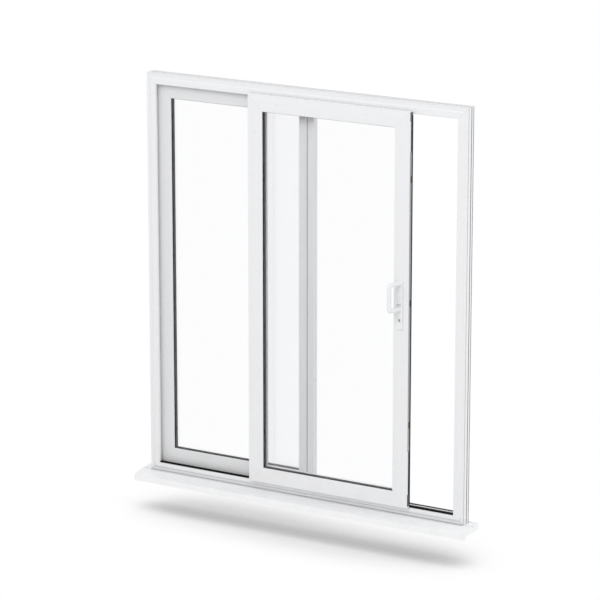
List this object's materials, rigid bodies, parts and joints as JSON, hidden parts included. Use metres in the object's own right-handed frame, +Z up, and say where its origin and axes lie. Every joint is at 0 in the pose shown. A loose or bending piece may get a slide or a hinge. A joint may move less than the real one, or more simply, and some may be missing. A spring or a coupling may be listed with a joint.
{
  "type": "sliding patio door",
  "caption": "White framed patio door with a fixed glazed leaf, a sliding glazed leaf with pull handles, a black track and a projecting cill.",
  "frame": {"origin": "middle of the cill's flat underside, under the outer frame's front face", "axes": "+X along the door to the closing side, +Y through the door away from the handle and keyhole side, +Z up"},
  "size_m": [1.889, 0.215, 2.105],
  "materials": {
    "white_profile": "satin white",
    "clear_glass": "clear float glass",
    "black_seal": "matt black seal",
    "black_spacer": "matt black",
    "black_track": "satin black",
    "black_plastic": "matt black",
    "grey_metal": "brushed, lengthways",
    "white_handle": "satin white paint"
  },
  "bodies": {
    "frame_side": {"cill": "white_profile", "cill_end_cap_left": "white_profile", "cill_end_cap_right": "white_profile", "fixed_gasket_back": "black_seal", "fixed_gasket_front": "black_seal", "fixed_pane_back": "clear_glass", "fixed_pane_front": "clear_glass", "fixed_rail_bottom": "white_profile", "fixed_rail_top": "white_profile", "fixed_spacer_bar": "black_spacer", "fixed_stile_interlock": "white_profile", "fixed_stile_left": "white_profile", "frame_head": "white_profile", "frame_jamb_left": "white_profile", "frame_jamb_right": "white_profile", "frame_sill": "white_profile", "head_guide_rail": "grey_metal", "interlock_brush": "black_seal", "lock_keep": "grey_metal", "sill_brush_strip": "black_seal", "sill_rear_strip": "black_seal", "sill_track": "black_track"},
    "sliding_leaf": {"closing_edge_caps": "black_plastic", "closing_edge_strip": "black_plastic", "closing_seal": "black_seal", "handle_grip_back": "white_handle", "handle_grip_front": "white_handle", "handle_plate_back": "white_handle", "handle_plate_front": "white_handle", "head_guide_shoes": "black_plastic", "key_cylinder": "grey_metal", "lock_faceplate": "grey_metal", "roller_housings": "black_plastic", "roller_wheels": "grey_metal", "slider_gasket_back": "black_seal", "slider_gasket_front": "black_seal", "slider_pane_back": "clear_glass", "slider_pane_front": "clear_glass", "slider_rail_bottom": "white_profile", "slider_rail_top": "white_profile", "slider_spacer_bar": "black_spacer", "slider_stile_interlock": "white_profile", "slider_stile_lock": "white_profile"},
    "thumb_lever": {"snib_lever": "white_handle"}
  },
  "joints": [
    {"name": "leaf_slide", "type": "slide", "parent": "frame_side", "child": "sliding_leaf", "axis": [1, 0, 0], "range_m": [-0.474, 0.252]},
    {"name": "thumb_lever_turn", "type": "hinge", "parent": "sliding_leaf", "child": "thumb_lever", "pos_m": [0.557, -0.037, 1.114], "axis": [0, 1, 0], "range_deg": [0, 60]}
  ]
}
